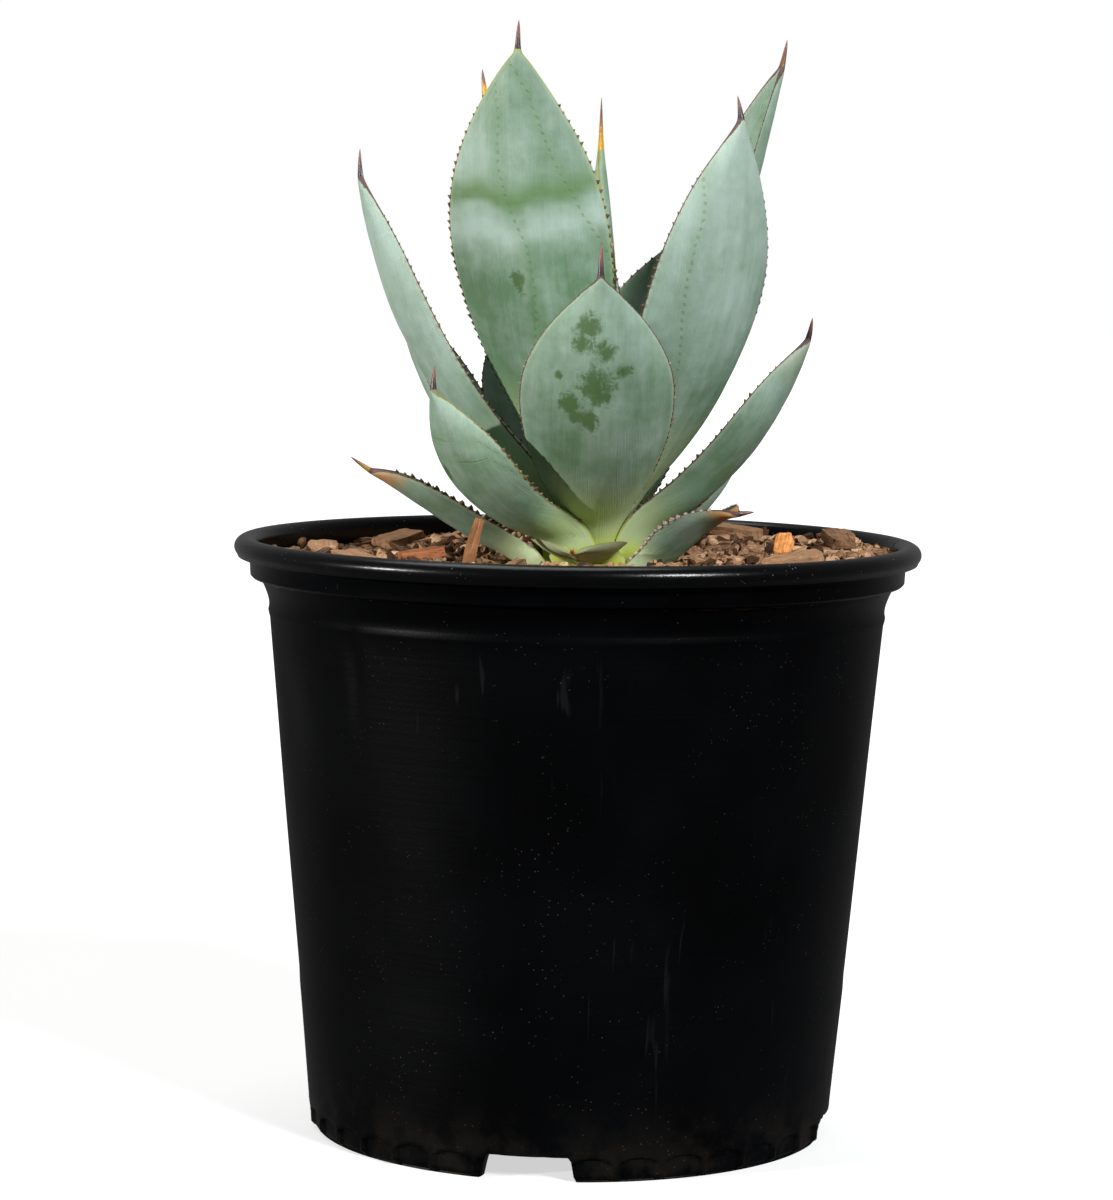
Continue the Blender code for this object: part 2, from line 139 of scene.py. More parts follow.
def noiseAt(co, size, seed=0.0):
    # smooth noise of about -1 to 1, with lumps of the given size in metres
    shift = Vector((seed * 7.13, seed * 3.71, seed * 5.29))
    return np.array([noise.noise(Vector(p) / size + shift) for p in co])


def smooth(value, low, high):
    share = np.clip((value - low) / (high - low), 0.0, 1.0)
    return share * share * (3.0 - 2.0 * share)


def softShade(obj, angle):
    pick(obj)
    bpy.ops.object.shade_smooth_by_angle(angle=math.radians(angle))


def finished(obj, slot, *nodes):
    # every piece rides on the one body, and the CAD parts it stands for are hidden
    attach(obj, "root")
    if nodes:
        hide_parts(*nodes)
    return obj


class Shader:
    # a material, or the world, and its node tree, with short ways to add nodes
    def __init__(self, name, library=bpy.data.materials, surface="Principled BSDF"):
        self.block = library.new(name)
        self.block.use_nodes = True
        self.tree = self.block.node_tree
        self.out = self.tree.nodes[surface]

    def put(self, socket, value):
        if isinstance(value, bpy.types.NodeSocket):
            self.tree.links.new(value, socket)
        elif hasattr(value, "__len__") and len(value) == 3 and socket.type == "RGBA":
            socket.default_value = (*value, 1.0)
        else:
            socket.default_value = value

    def add(self, kind, **settings):
        made = self.tree.nodes.new(kind)
        for key, value in settings.items():
            setattr(made, key, value)
        return made

    def fill(self, node, **values):
        for key, value in values.items():
            self.put(node.inputs[key.replace("_", " ")], value)
        return node

    def set(self, **values):
        # the surface's own sockets, such as set(Roughness=0.5)
        self.fill(self.out, **values)

    def place(self):
        return self.add("ShaderNodeTexCoord").outputs["Object"]

    def read(self, name):
        return self.add("ShaderNodeAttribute", attribute_name=name).outputs["Fac"]

    def readVector(self, name):
        return self.add("ShaderNodeAttribute", attribute_name=name).outputs["Vector"]

    def calc(self, operation, *values, clamp=False):
        made = self.add("ShaderNodeMath", operation=operation, use_clamp=clamp)
        for socket, value in zip(made.inputs, values):
            self.put(socket, value)
        return made.outputs[0]

    def times(self, a, b):
        return self.calc("MULTIPLY", a, b)

    def plus(self, a, b):
        return self.calc("ADD", a, b)

    def vary(self, texture, amount, base, clamp=False):
        # base, moved up and down by a texture that runs from 0 to 1
        return self.calc("MULTIPLY_ADD", self.calc("SUBTRACT", texture, 0.5), amount, base, clamp=clamp)

    def stretch(self, vector, scale):
        made = self.add("ShaderNodeVectorMath", operation="MULTIPLY")
        self.put(made.inputs[0], vector)
        made.inputs[1].default_value = scale
        return made.outputs[0]

    def vector(self, x, y, z=0.0):
        made = self.add("ShaderNodeCombineXYZ")
        for socket, value in zip(made.inputs, (x, y, z)):
            self.put(socket, value)
        return made.outputs[0]

    def step(self, value, low, high, toLow=0.0, toHigh=1.0):
        # a smooth step from toLow at low to toHigh at high
        made = self.add("ShaderNodeMapRange", interpolation_type="SMOOTHSTEP")
        self.fill(made, Value=value, From_Min=low, From_Max=high, To_Min=toLow, To_Max=toHigh)
        return made.outputs[0]

    def cloud(self, vector, scale, detail=3.0, roughness=0.55, distortion=0.0):
        made = self.add("ShaderNodeTexNoise")
        self.fill(made, Vector=vector, Scale=scale, Detail=detail, Roughness=roughness, Distortion=distortion)
        return made.outputs[0]

    def cells(self, vector, scale):
        made = self.add("ShaderNodeTexVoronoi")
        return self.fill(made, Vector=vector, Scale=scale).outputs["Distance"]

    def mix(self, share, low, high):
        made = self.add("ShaderNodeMix", data_type="RGBA")
        self.put(made.inputs[0], share)
        self.put(made.inputs[6], low)
        self.put(made.inputs[7], high)
        return made.outputs[2]

    def bump(self, height, distance, strength):
        made = self.fill(self.add("ShaderNodeBump"), Height=height, Distance=distance, Strength=strength)
        self.set(Normal=made.outputs[0])


leafPaint = {
    "green": (0.110, 0.200, 0.112),
    "bloom": (0.345, 0.455, 0.385),     # the powdery wax
    "deep": (0.050, 0.105, 0.022),      # skin with the wax rubbed off
    "band": (0.095, 0.190, 0.060),
    "base": (0.480, 0.545, 0.290),
    "baseLow": (0.400, 0.460, 0.075),
    "rim": (0.46, 0.53, 0.36),          # beside the margin's line
    "maroon": (0.085, 0.026, 0.030),
    "lime": (0.330, 0.400, 0.090),
    "dry": (0.480, 0.200, 0.060),
    "horn": (0.040, 0.024, 0.028),
    "amber": (0.620, 0.330, 0.020),
    "hornTip": (0.190, 0.075, 0.060),
}


def leafSkin():
    s = Shader("agave_skin")
    place = s.place()
    along = s.read("along")
    edge = s.read("edgeMm")
    side = s.read("side")
    spine = s.read("spine")
    flow = s.vector(s.read("crossMm"), s.read("alongMm"), s.read("seed"))

    clouds = s.cloud(place, 30.0, 3.0)
    mottle = s.cloud(place, 190.0, 4.0, 0.65)
    streaks = s.cloud(s.stretch(flow, (0.22, 0.012, 1.0)), 1.0, 2.0)
    fibres = s.cloud(s.stretch(flow, (2.6, 0.05, 1.0)), 1.0, 3.0, 0.6)
    grain = s.cloud(place, 2600.0, 2.0)

    # how much wax lies on the skin
    wax = s.vary(clouds, 1.6, s.read("bloom"))
    wax = s.vary(streaks, 0.45, wax)
    wax = s.vary(mottle, 0.60, wax)
    wax = s.vary(fibres, 0.30, wax, clamp=True)
    colour = s.mix(wax, leafPaint["green"], leafPaint["bloom"])

    # green cross bands, worn patches and the prints of neighbouring leaves' teeth
    bandShare = s.calc("MULTIPLY", s.read("band"), s.step(mottle, 0.2, 0.6, 0.65, 1.0), clamp=True)
    colour = s.mix(bandShare, colour, leafPaint["band"])
    worn = s.vary(s.cloud(place, 240.0, 6.0, 0.75, 0.6), 1.2, s.read("worn"))
    worn = s.vary(streaks, 0.7, worn)
    worn = s.step(worn, 0.36, 0.66)
    colour = s.mix(s.times(worn, 0.85), colour, leafPaint["deep"])
    printShare = 0.0
    for name in ("printA", "printB"):
        away = s.calc("ABSOLUTE", s.plus(s.read(name), s.times(s.calc("SUBTRACT", mottle, 0.5), 2.2)))
        dots = s.calc("SINE", s.times(s.read("alongMm"), 1.9))
        row = s.times(s.step(away, 1.1, 0.2), s.step(dots, -0.5, 0.7, 0.15, 0.9))
        halo = s.times(s.step(away, 6.0, 0.0), 0.38)
        printShare = s.calc("MAXIMUM", s.calc("MAXIMUM", row, halo), printShare)
    colour = s.mix(s.times(printShare, 0.62), colour, leafPaint["band"])

    # pale clasping base, dry tip
    fromBase = s.plus(along, s.times(s.calc("SUBTRACT", clouds, 0.5), 0.16))
    reachUp = s.read("baseEnd")
    baseShare = s.step(s.calc("DIVIDE", fromBase, reachUp), 1.0, 0.35)
    baseShare = s.times(baseShare, s.calc("MULTIPLY_ADD", s.read("pale"), 0.25, 0.70))
    colour = s.mix(baseShare, colour, leafPaint["base"])
    lowShare = s.step(s.calc("DIVIDE", along, reachUp), 0.55, 0.12)
    colour = s.mix(s.times(lowShare, s.read("pale")), colour, leafPaint["baseLow"])
    colour = s.mix(s.step(along, 0.11, 0.02), colour, leafPaint["baseLow"])
    dryShare = s.times(s.read("dry"), s.step(s.plus(along, s.times(mottle, 0.15)), 0.86, 1.02))
    colour = s.mix(dryShare, colour, leafPaint["dry"])

    # the margin: a pale rim beside a thin horny line, which widens towards the spine
    rim = s.times(s.step(edge, 2.6, 0.9), 0.28)
    colour = s.mix(rim, colour, leafPaint["rim"])
    ragged = s.times(s.calc("SUBTRACT", s.cloud(place, 700.0, 2.0), 0.5), 0.9)
    reach = s.plus(s.step(along, 0.95, 1.0, 0.0, 0.5), s.step(along, 0.05, 0.25, 0.35, 0.0))
    lineGap = s.plus(s.calc("SUBTRACT", edge, reach), ragged)
    line = s.step(lineGap, 0.85, 0.45)
    horny = s.mix(s.read("limeMargin"), leafPaint["maroon"], leafPaint["lime"])
    horny = s.mix(s.step(along, 0.20, 0.06), horny, leafPaint["baseLow"])
    colour = s.mix(s.times(line, 0.92), colour, horny)

    # the terminal spine
    amber = s.mix(s.read("amber"), leafPaint["horn"], leafPaint["amber"])
    horn = s.mix(s.step(spine, 0.15, 0.65), amber, leafPaint["hornTip"])
    colour = s.mix(s.step(spine, 0.004, 0.05), colour, horn)

    s.set(Base_Color=colour)
    dull = s.calc("MULTIPLY_ADD", wax, 0.12, 0.47)
    dull = s.vary(mottle, 0.16, dull)
    s.set(Roughness=s.step(spine, 0.0, 0.05, dull, 0.34), Specular_IOR_Level=0.36)
    ridges = s.times(fibres, s.step(side, 0.4, 0.6, 0.8, 1.0))
    height = s.plus(s.times(ridges, 0.55), s.times(grain, 0.18))
    height = s.calc("SUBTRACT", height, s.times(printShare, 0.5))
    height = s.calc("SUBTRACT", height, s.times(worn, 0.10))
    height = s.plus(height, s.times(mottle, 0.35))
    s.bump(height, 0.00045, 0.8)
    return s.block


def toothHorn():
    s = Shader("agave_teeth")
    place = s.place()
    tone = s.read("tone")
    reach = s.read("reach")     # 0 at a tooth's foot, 1 at its tip
    colour = s.mix(s.step(tone, 0.0, 0.7), (0.085, 0.018, 0.018), (0.30, 0.22, 0.09))
    colour = s.mix(s.step(tone, 0.7, 1.0), colour, (0.62, 0.46, 0.40))
    colour = s.mix(s.step(reach, 0.55, 1.0, 0.0, 0.5), colour, (0.42, 0.24, 0.17))
    colour = s.mix(s.step(s.cloud(place, 900.0, 2.0), 0.3, 0.7, 0.0, 0.5), colour, (0.05, 0.02, 0.02))
    s.set(Base_Color=colour, Roughness=0.42, Specular_IOR_Level=0.4)
    s.bump(s.cloud(place, 3000.0, 2.0), 0.0002, 0.5)
    return s.block


barkPaint = {"dark": (0.050, 0.022, 0.011), "middle": (0.310, 0.165, 0.085), "light": (0.640, 0.420, 0.250)}


def barkSkin(name="split_bark", tint=(1.0, 1.0, 1.0)):
    s = Shader(name)
    place = s.place()
    tone = s.read("tone")
    fibre = s.readVector("fibre")
    lines = s.cloud(s.stretch(fibre, (0.10, 1.5, 1.5)), 1.0, 4.0, 0.65)
    lumps = s.cloud(place, 260.0, 4.0, 0.6)
    fine = s.cloud(place, 1900.0, 3.0)
    shade = s.vary(lines, 1.1, tone)
    shade = s.vary(lumps, 0.7, shade, clamp=True)
    paint = {key: tuple(c * t for c, t in zip(colour, tint)) for key, colour in barkPaint.items()}
    colour = s.mix(s.step(shade, 0.05, 0.5), paint["dark"], paint["middle"])
    colour = s.mix(s.step(shade, 0.5, 1.0), colour, paint["light"])
    s.set(Base_Color=colour, Roughness=0.88, Specular_IOR_Level=0.2)
    height = s.plus(s.times(lines, 0.8), s.times(lumps, 0.5))
    height = s.plus(height, s.times(fine, 0.25))
    s.bump(height, 0.0011, 0.9)
    return s.block


plasticPaint = {
    "dark": (0.0005, 0.0006, 0.0008), "pale": (0.0012, 0.0014, 0.0018),
    "footDust": (0.012, 0.010, 0.008), "scratch": (0.008, 0.008, 0.009), "speck": (0.250, 0.210, 0.165),
}


def blackPlastic():
    s = Shader("black_pot_plastic")
    place = s.place()
    high = s.add("ShaderNodeSeparateXYZ")
    s.put(high.inputs[0], place)
    z = high.outputs[2]
    clouds = s.cloud(place, 16.0, 3.0)
    fine = s.cloud(place, 900.0, 3.0)
    dust = s.cloud(place, 55.0, 4.0, 0.6)
    specks = s.cells(place, 430.0)
    speck = s.times(s.step(specks, 0.16, 0.07), s.step(dust, 0.50, 0.66))
    scratches = s.cloud(s.stretch(place, (230.0, 230.0, 7.0)), 1.0, 2.0, 0.5, 0.4)
    scratch = s.times(s.step(scratches, 0.66, 0.74), s.step(s.cloud(place, 11.0, 2.0), 0.52, 0.66))
    rings = s.cloud(s.stretch(place, (1.0, 1.0, 420.0)), 1.0, 1.0)
    colour = s.mix(s.step(clouds, 0.3, 0.7), plasticPaint["dark"], plasticPaint["pale"])
    low = s.step(z, 0.035, 0.0, 0.0, 0.55)
    colour = s.mix(s.times(low, s.step(dust, 0.40, 0.62)), colour, plasticPaint["footDust"])
    colour = s.mix(s.times(scratch, 0.5), colour, plasticPaint["scratch"])
    top = s.step(z, 0.2325, 0.239, 0.15, 0.9)
    colour = s.mix(s.times(speck, top), colour, plasticPaint["speck"])
    s.set(Base_Color=colour)
    rough = s.calc("MULTIPLY_ADD", clouds, 0.14, s.step(z, 0.205, 0.232, 0.36, 0.17))
    rough = s.plus(rough, s.times(scratch, 0.2))
    rough = s.plus(rough, s.times(speck, 0.3))
    s.set(Roughness=rough, Specular_IOR_Level=s.step(z, 0.2315, 0.2335, 0.045, 0.22))
    height = s.plus(s.times(fine, 0.22), s.times(rings, 0.2))
    height = s.plus(height, s.times(speck, 0.8))
    height = s.calc("SUBTRACT", height, s.times(scratch, 0.35))
    s.bump(height, 0.00035, 0.8)
    return s.block


def stemSkin():
    s = Shader("stem_skin")
    place = s.place()
    clouds = s.cloud(place, 120.0, 4.0, 0.6)
    scars = s.cloud(s.stretch(place, (40.0, 40.0, 900.0)), 1.0, 3.0)
    colour = s.mix(clouds, (0.26, 0.30, 0.08), (0.45, 0.46, 0.20))
    colour = s.mix(s.step(scars, 0.5, 0.8, 0.0, 0.6), colour, (0.16, 0.10, 0.05))
    s.set(Base_Color=colour, Roughness=0.6)
    s.bump(s.plus(scars, s.times(clouds, 0.5)), 0.0008, 0.8)
    return s.block


skin = leafSkin()
horn = toothHorn()
bark = barkSkin()
plastic = blackPlastic()
print("materials ready")


# what the eye sees on each leaf; bloom is the wax, prints are lines of tooth marks,
# each from (along, across) to (along, across), worn spots are (along, across, radius in mm)
plainLeaf = {
    "bloom": 0.55, "bloomLow": 0.30, "bloomRange": (0.42, 0.80), "baseEnd": 0.42, "pale": 0.0, "lime": 0.0,
    "amber": 0.0, "dry": 0.0, "keel": 0.2, "band": None, "prints": (), "worn": (),
    "toothSize": 1.15, "toothGap": 3.9, "teethFrom": 0.16, "teethTo": 0.90, "toothTone": 0.15,
}
leafLooks = {
    "front_tall_leaf": {
        "bloom": 0.58, "bloomLow": 0.02, "bloomRange": (0.54, 0.70), "lime": 0.85, "keel": 0.35,
        "band": (0.738, 0.026, 0.95), "toothGap": 3.5, "toothSize": 1.35,
        "prints": ((0.88, -0.36, 0.64, 0.02), (0.92, 0.30, 0.60, 0.93)),
        "worn": ((0.575, -0.12, 2.3), (0.558, -0.10, 1.7)),
    },
    "front_leaf": {
        "bloom": 0.36, "bloomLow": 0.34, "keel": 0.15, "toothGap": 3.2, "toothSize": 0.95, "toothTone": 0.3,
        "teethTo": 0.88, "pale": 0.25,
        "worn": (
            (0.87, -0.18, 4.6), (0.82, -0.24, 3.6), (0.80, 0.10, 4.0), (0.70, -0.02, 6.4), (0.67, 0.05, 4.0),
            (0.64, -0.32, 4.2), (0.60, -0.22, 4.4), (0.74, 0.34, 3.0), (0.58, -0.08, 3.4), (0.72, -0.50, 1.8),
        ),
    },
    "right_tall_leaf": {
        "bloom": 0.92, "bloomLow": 0.35, "keel": 0.7, "toothTone": 0.12,
        "prints": ((0.80, -0.62, 0.48, -0.42),),
    },
    "left_tall_leaf": {"bloom": 0.88, "bloomLow": 0.55, "keel": 0.1, "toothTone": 0.1},
    "front_left_leaf": {
        "bloom": 0.45, "bloomLow": 0.22, "lime": 0.35, "keel": 0.0,
        "prints": ((0.83, -0.60, 0.80, 0.35), (0.75, -0.55, 0.71, 0.45)),
        "worn": ((0.66, -0.28, 3.2), (0.30, 0.05, 4.0)),
    },
    "right_lower_leaf": {"bloom": 0.42, "keel": 0.1, "dry": 0.1},
    "low_left_leaf": {"bloom": 0.40, "dry": 0.8, "amber": 0.55, "toothSize": 1.7, "toothGap": 4.0},
    "low_right_leaf": {"bloom": 0.45, "dry": 1.0, "toothSize": 1.4, "toothTone": 0.95, "toothGap": 3.2},
    "low_front_leaf": {
        "bloom": 0.30, "lime": 0.9, "amber": 0.9, "keel": 0.8, "pale": 1.0, "baseEnd": 1.5,
        "toothSize": 0.7, "toothTone": 0.9,
    },
    "left_outer_leaf": {"bloom": 0.40, "dry": 0.5, "toothTone": 0.4},
    "right_inner_leaf": {"bloom": 0.45, "keel": 0.2, "amber": 0.2},
    "left_inner_leaf": {"amber": 1.0},
    "back_right_leaf": {"bloom": 0.32, "lime": 0.5},
}


def walkRing(ring, nearer):
    # puts a ring's points in order, by the sides of the quads that lead to the ring nearer the tip
    ringSet = set(ring)
    nearSet = set(nearer)

    def isSide(edge):
        if not all(v in ringSet for v in edge.verts):
            return False
        return any(w in nearSet for face in edge.link_faces for w in face.verts)

    order = [ring[0]]
    while len(order) < len(ring):
        for edge in order[-1].link_edges:
            other = edge.other_vert(order[-1])
            if isSide(edge) and other not in order:
                order.append(other)
                break
    return [v.co.copy() for v in order]


def turnToMargins(ring, heading):
    # starts a leaf's ring at one margin, runs over the hollow inner face to the other, and back outside
    half = len(ring) // 2
    first = max(range(half), key=lambda i: (ring[i] - ring[i + half]).length)
    ring = ring[first:] + ring[:first]
    middle = (ring[0] + ring[half]) / 2
    if (ring[half // 2] - middle).length > (ring[half + half // 2] - middle).length:
        ring = [ring[0]] + ring[:0:-1]
    if (ring[half] - ring[0]).dot(heading) < 0:
        ring = ring[half::-1] + ring[:half:-1]
    return ring


def matchRing(ring, like):
    # turns a ring, and flips it if need be, so that its points pair with those of the ring beside it
    def centred(points):
        middle = sum(points, Vector()) / len(points)
        size = math.sqrt(sum((p - middle).length_squared for p in points) / len(points))
        return [(p - middle) / size for p in points]

    goal = centred(like)
    count = len(ring)
    best = None
    for way in (1, -1):
        for first in range(count):
            order = [(first + way * i) % count for i in range(count)]
            shape = centred([ring[i] for i in order])
            gap = sum((a - b).length_squared for a, b in zip(shape, goal))
            if best is None or gap < best[0]:
                best = (gap, order)
    return [ring[i] for i in best[1]]


def leafRings(node):
    # the leaf's cross-sections from its base to its spine, and its tip
    low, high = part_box("stem")
    crown = (low + high) / 2
    bm = bmesh.new()
    bm.from_mesh(frame["nodes"][node].data)
    bmesh.ops.remove_doubles(bm, verts=bm.verts, dist=1e-6)
    tip = max(bm.verts, key=lambda v: (v.co - crown).length)
    layers = [[tip]]
    seen = {tip}
    while True:
        found = {edge.other_vert(v) for v in layers[-1] for edge in v.link_edges} - seen
        if not found:
            break
        seen |= found
        layers.append(sorted(found, key=lambda v: v.index))
    rings = [walkRing(layers[i], layers[i - 1]) for i in range(1, len(layers))]
    rings.reverse()
    tipPlace = tip.co.copy()
    bm.free()
    out = tipPlace - crown
    heading = Vector((-out.y, out.x, 0.0)).normalized()
    middle = len(rings) // 2
    rings[middle] = turnToMargins(rings[middle], heading)
    for i in range(middle + 1, len(rings)):
        rings[i] = matchRing(rings[i], rings[i - 1])
    for i in range(middle - 1, -1, -1):
        rings[i] = matchRing(rings[i], rings[i + 1])
    return rings, tipPlace


def makeTooth():
    # one hooked margin tooth, 1 mm long: X runs along the margin towards the leaf's tip, Z points out
    bpy.ops.object.select_all(action="DESELECT")
    bpy.ops.mesh.primitive_circle_add(vertices=7, radius=0.5 * mm, fill_type="NGON")
    tooth = bpy.context.active_object
    tooth.name = "tooth"
    with EditMode():
        bpy.ops.transform.resize(value=(1.5, 0.75, 1.0))
        for lift, slide, shrink in ((0.34, 0.02, 0.72), (0.34, 0.10, 0.55), (0.32, 0.20, 0.12)):
            bpy.ops.mesh.extrude_region_move(TRANSFORM_OT_translate={"value": (slide * mm, 0.0, lift * mm)})
            bpy.ops.transform.resize(value=(shrink, shrink, 1.0))
        bpy.ops.mesh.select_all(action="SELECT")
        bpy.ops.mesh.normals_make_consistent(inside=False)
    shape = points(tooth)
    faces = [tuple(p.vertices) for p in tooth.data.polygons]
    bpy.data.objects.remove(tooth)
    return shape, faces


toothShape, toothFaces = makeTooth()


def scatterMesh(name, copies):
    # joins placed copies of small shapes into one mesh; each copy is (points, faces, attributes)
    verts = []
    faces = []
    attributes = {}
    start = 0
    for shape, shapeFaces, values in copies:
        verts.append(shape)
        faces += [tuple(i + start for i in face) for face in shapeFaces]
        for key, entry in values.items():
            attributes.setdefault(key, []).append(np.broadcast_to(entry, (len(shape),) + np.shape(entry)[1:]))
        start += len(shape)
    obj = newMeshObject(name, np.concatenate(verts), faces)
    for key, entries in attributes.items():
        setAttribute(obj, key, np.concatenate(entries))
    return obj


def marginLine(leaf, sign):
    # the points of one margin from the base up, with the way out of the leaf at each
    mesh = leaf.data
    across = getAttribute(leaf, "across")
    along = getAttribute(leaf, "along")
    onMargin = {v for edge in mesh.edges if edge.use_seam for v in edge.vertices}
    co = points(leaf)
    inside = {v: [] for v in onMargin}
    for edge in mesh.edges:
        a, b = edge.vertices
        if edge.use_seam:
            continue
        if a in onMargin:
            inside[a].append(b)
        if b in onMargin:
            inside[b].append(a)
    line = sorted((v for v in onMargin if across[v] * sign > 0), key=lambda v: along[v])
    place = co[line]
    out = np.array([co[v] - co[inside[v]].mean(axis=0) for v in line])
    tangent = np.gradient(place, axis=0)
    tangent /= np.linalg.norm(tangent, axis=1)[:, None] + 1e-12
    out -= tangent * (out * tangent).sum(axis=1)[:, None]
    out /= np.linalg.norm(out, axis=1)[:, None] + 1e-12
    return place, tangent, out, along[line]


def addTeeth(leaf, look, rng):
    copies = []
    reach = toothShape[:, 2] / toothShape[:, 2].max()
    for sign in (-1, 1):
        place, tangent, out, along = marginLine(leaf, sign)
        travelled = np.concatenate([[0.0], np.cumsum(np.linalg.norm(np.diff(place, axis=0), axis=1))])
        at = travelled[np.searchsorted(along, look["teethFrom"])]
        end = travelled[min(np.searchsorted(along, look["teethTo"]), len(along) - 1)]
        while at < end:
            spot, ahead, away = ([np.interp(at, travelled, line[:, i]) for i in range(3)]
                                 for line in (place, tangent, out))
            ahead = Vector(ahead).normalized()
            away = Vector(away).normalized()
            thick = away.cross(ahead).normalized()
            turn = np.array([list(ahead), list(thick), list(away)])
            size = look["toothSize"] * (0.75 + 0.5 * rng.random())
            size *= 0.65 + 0.35 * math.sin(math.pi * at / (end + 1e-9))
            hook = (1.0 + 0.3 * rng.random(), 1.0, 0.85 + 0.5 * rng.random())
            shape = (toothShape * size * hook) @ turn + np.array(spot) - np.array(away) * 0.30 * mm
            tone = look["toothTone"] + (0.6 if rng.random() < 0.12 else 0.25 * rng.random())
            copies.append((shape, toothFaces, {"tone": min(tone, 1.0), "reach": reach}))
            at += look["toothGap"] * mm * (0.8 + 0.4 * rng.random())
    teeth = scatterMesh(leaf.name + "_teeth", copies)
    teeth.data.materials.append(horn)
    softShade(teeth, 50)
    pick(leaf)
    teeth.select_set(True)
    bpy.ops.object.join()


def paintLeaf(leaf, look, seed):
    # turns the look into values on the leaf's own points, which the skin's material reads
    along = getAttribute(leaf, "along")
    across = getAttribute(leaf, "across")
    half = getAttribute(leaf, "halfMm")
    alongMm = getAttribute(leaf, "alongMm")
    crossMm = across * half
    setAttribute(leaf, "crossMm", crossMm)
    setAttribute(leaf, "edgeMm", np.maximum(half - np.abs(crossMm), 0.0))
    band = np.zeros(len(along))
    if look["band"]:
        centre, width, strength = look["band"]
        sag = centre - 0.022 * (1.0 - np.abs(across)) ** 2 + 0.006 * np.sin(across * 9.0)
        upper = np.exp(-np.maximum(along - sag, 0.0) ** 2 / (2 * (width * 0.9) ** 2))
        lower = smooth(along, sag - width * 0.85, sag - width * 0.10)
        band = strength * upper * lower
    setAttribute(leaf, "band", band)
    worn = np.zeros(len(along))
    total = alongMm[np.argmin(np.abs(along - 1.0))]
    for at, cross, radius in look["worn"]:
        gap = np.hypot((along - at) * total, (across - cross) * half) / radius
        worn = np.maximum(worn, 0.88 - 0.38 * gap)
    setAttribute(leaf, "worn", np.maximum(worn, 0.0))
    for name, i in (("printA", 0), ("printB", 1)):
        away = np.full(len(along), 50.0)
        if i < len(look["prints"]):
            high, highCross, low, lowCross = look["prints"][i]
            if abs(high - low) > 0.1:
                fall = (high - along) / (high - low)
                cross = highCross + (lowCross - highCross) * fall - 0.07 * np.sin(math.pi * fall)
                away = (across - cross) * half
                away = away + 60.0 * np.maximum(np.abs(along - (high + low) / 2) - (high - low) / 2, 0.0)
            else:
                level = high + (low - high) * (across - highCross) / (lowCross - highCross)
                away = (along - level) * total
                away = away + 60.0 * np.maximum(np.abs(across) - 0.75, 0.0)
        setAttribute(leaf, name, away)
    bloom = look["bloomLow"] + (look["bloom"] - look["bloomLow"]) * smooth(along, *look["bloomRange"])
    if look["band"]:
        bloom += 0.45 * np.exp(-((along - sag + 0.062) / 0.022) ** 2)
    setAttribute(leaf, "bloom", bloom)
    flat = {"limeMargin": look["lime"], "seed": seed * 3.7}
    flat.update((key, look[key]) for key in ("amber", "dry", "pale", "baseEnd"))
    for name, value in flat.items():
        setAttribute(leaf, name, np.full(len(along), value))


